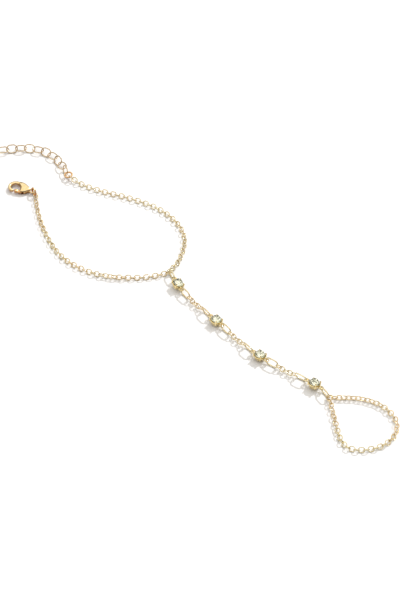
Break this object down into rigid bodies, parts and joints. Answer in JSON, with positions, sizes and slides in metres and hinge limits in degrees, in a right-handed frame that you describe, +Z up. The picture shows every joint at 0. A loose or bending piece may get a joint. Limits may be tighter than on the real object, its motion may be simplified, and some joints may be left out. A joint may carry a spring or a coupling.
{
  "type": "hand chain bracelet",
  "caption": "Hand chain bracelet: a fine wrist chain with lobster clasp and extender, a stone-set chain across the back of the hand, and a chain loop for the finger.",
  "frame": {"origin": "centre of the bounding box at the surface the bracelet lies on", "axes": "+Z up from the surface; +Y from the finger loop's end towards the extender's end; +X from the clasp's side towards the finger loop's side, as seen from above"},
  "size_m": [0.1412, 0.1511, 0.0037],
  "materials": {
    "chain_gold": "polished pale gold plating",
    "setting_gold": "polished yellow gold plating",
    "clasp_gold": "polished deep gold plating",
    "extender_metal": "thin pale gold plating",
    "stone": "cut and polished, clear"
  },
  "bodies": {
    "bracelet": {"wrist_chain_clasp_side": "chain_gold", "wrist_chain_extender_side": "chain_gold", "hand_chain_1": "chain_gold", "hand_chain_2": "chain_gold", "hand_chain_3": "chain_gold", "finger_chain": "chain_gold", "extender_chain": "extender_metal", "clasp_body": "clasp_gold", "clasp_pin": "clasp_gold", "clasp_ring": "clasp_gold", "connector_ring": "clasp_gold", "junction_ring": "chain_gold", "finger_ring": "chain_gold", "jump_ring_1a": "chain_gold", "jump_ring_1b": "chain_gold", "jump_ring_2a": "chain_gold", "jump_ring_2b": "chain_gold", "jump_ring_3a": "chain_gold", "jump_ring_3b": "chain_gold", "setting_1": "setting_gold", "setting_2": "setting_gold", "setting_3": "setting_gold", "setting_4": "setting_gold", "stone_1": "stone", "stone_2": "stone", "stone_3": "stone", "stone_4": "stone"},
    "lever": {"clasp_lever": "clasp_gold"}
  },
  "joints": [
    {"name": "lever_hinge", "type": "hinge", "parent": "bracelet", "child": "lever", "pos_m": [-0.06009, 0.0505, 0.001], "axis": [0, 0, -1], "range_deg": [0, 25], "stiffness_Nm_per_rad": 0.00005}
  ]
}
